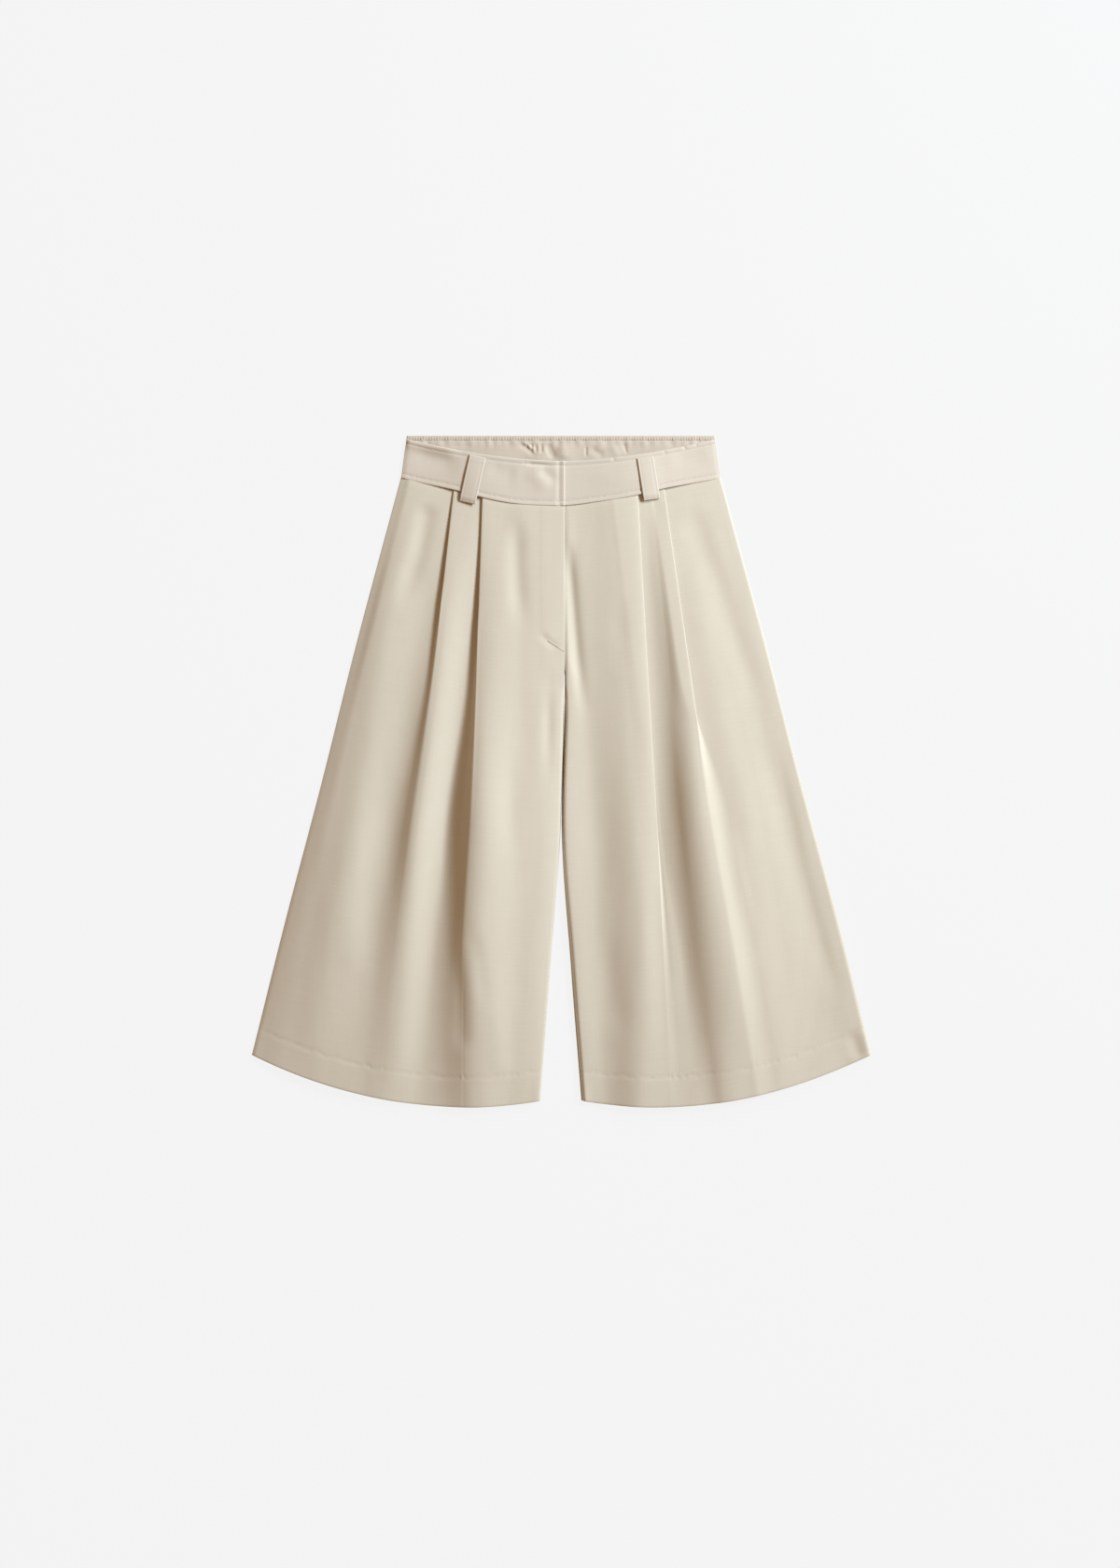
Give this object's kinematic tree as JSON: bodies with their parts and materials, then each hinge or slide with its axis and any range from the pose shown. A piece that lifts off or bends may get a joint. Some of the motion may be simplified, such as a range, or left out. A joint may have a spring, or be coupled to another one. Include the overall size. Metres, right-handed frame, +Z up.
{
  "type": "pleated bermuda shorts",
  "caption": "Wide-leg pleated shorts laid flat, with a lapped front waistband, an elasticated gathered back waistband and belt loops; clothing to fold, stack, display or wear.",
  "frame": {"origin": "on the surface the shorts lie on, under the middle of the garment", "axes": "+Z up off the surface, out of the front of the garment; +Y towards the waist; +X towards the wearer's left leg"},
  "size_m": [0.6285, 0.682, 0.0239],
  "materials": {
    "cloth": "stone-beige twill weave with a soft dry sheen, sewn in matching thread"
  },
  "bodies": {
    "root": {"front_right": "cloth", "front_left": "cloth", "back_right": "cloth", "back_left": "cloth", "waistband_front_right": "cloth", "waistband_front_left": "cloth", "waistband_back": "cloth", "belt_loop_right": "cloth", "belt_loop_left": "cloth"}
  },
  "joints": []
}
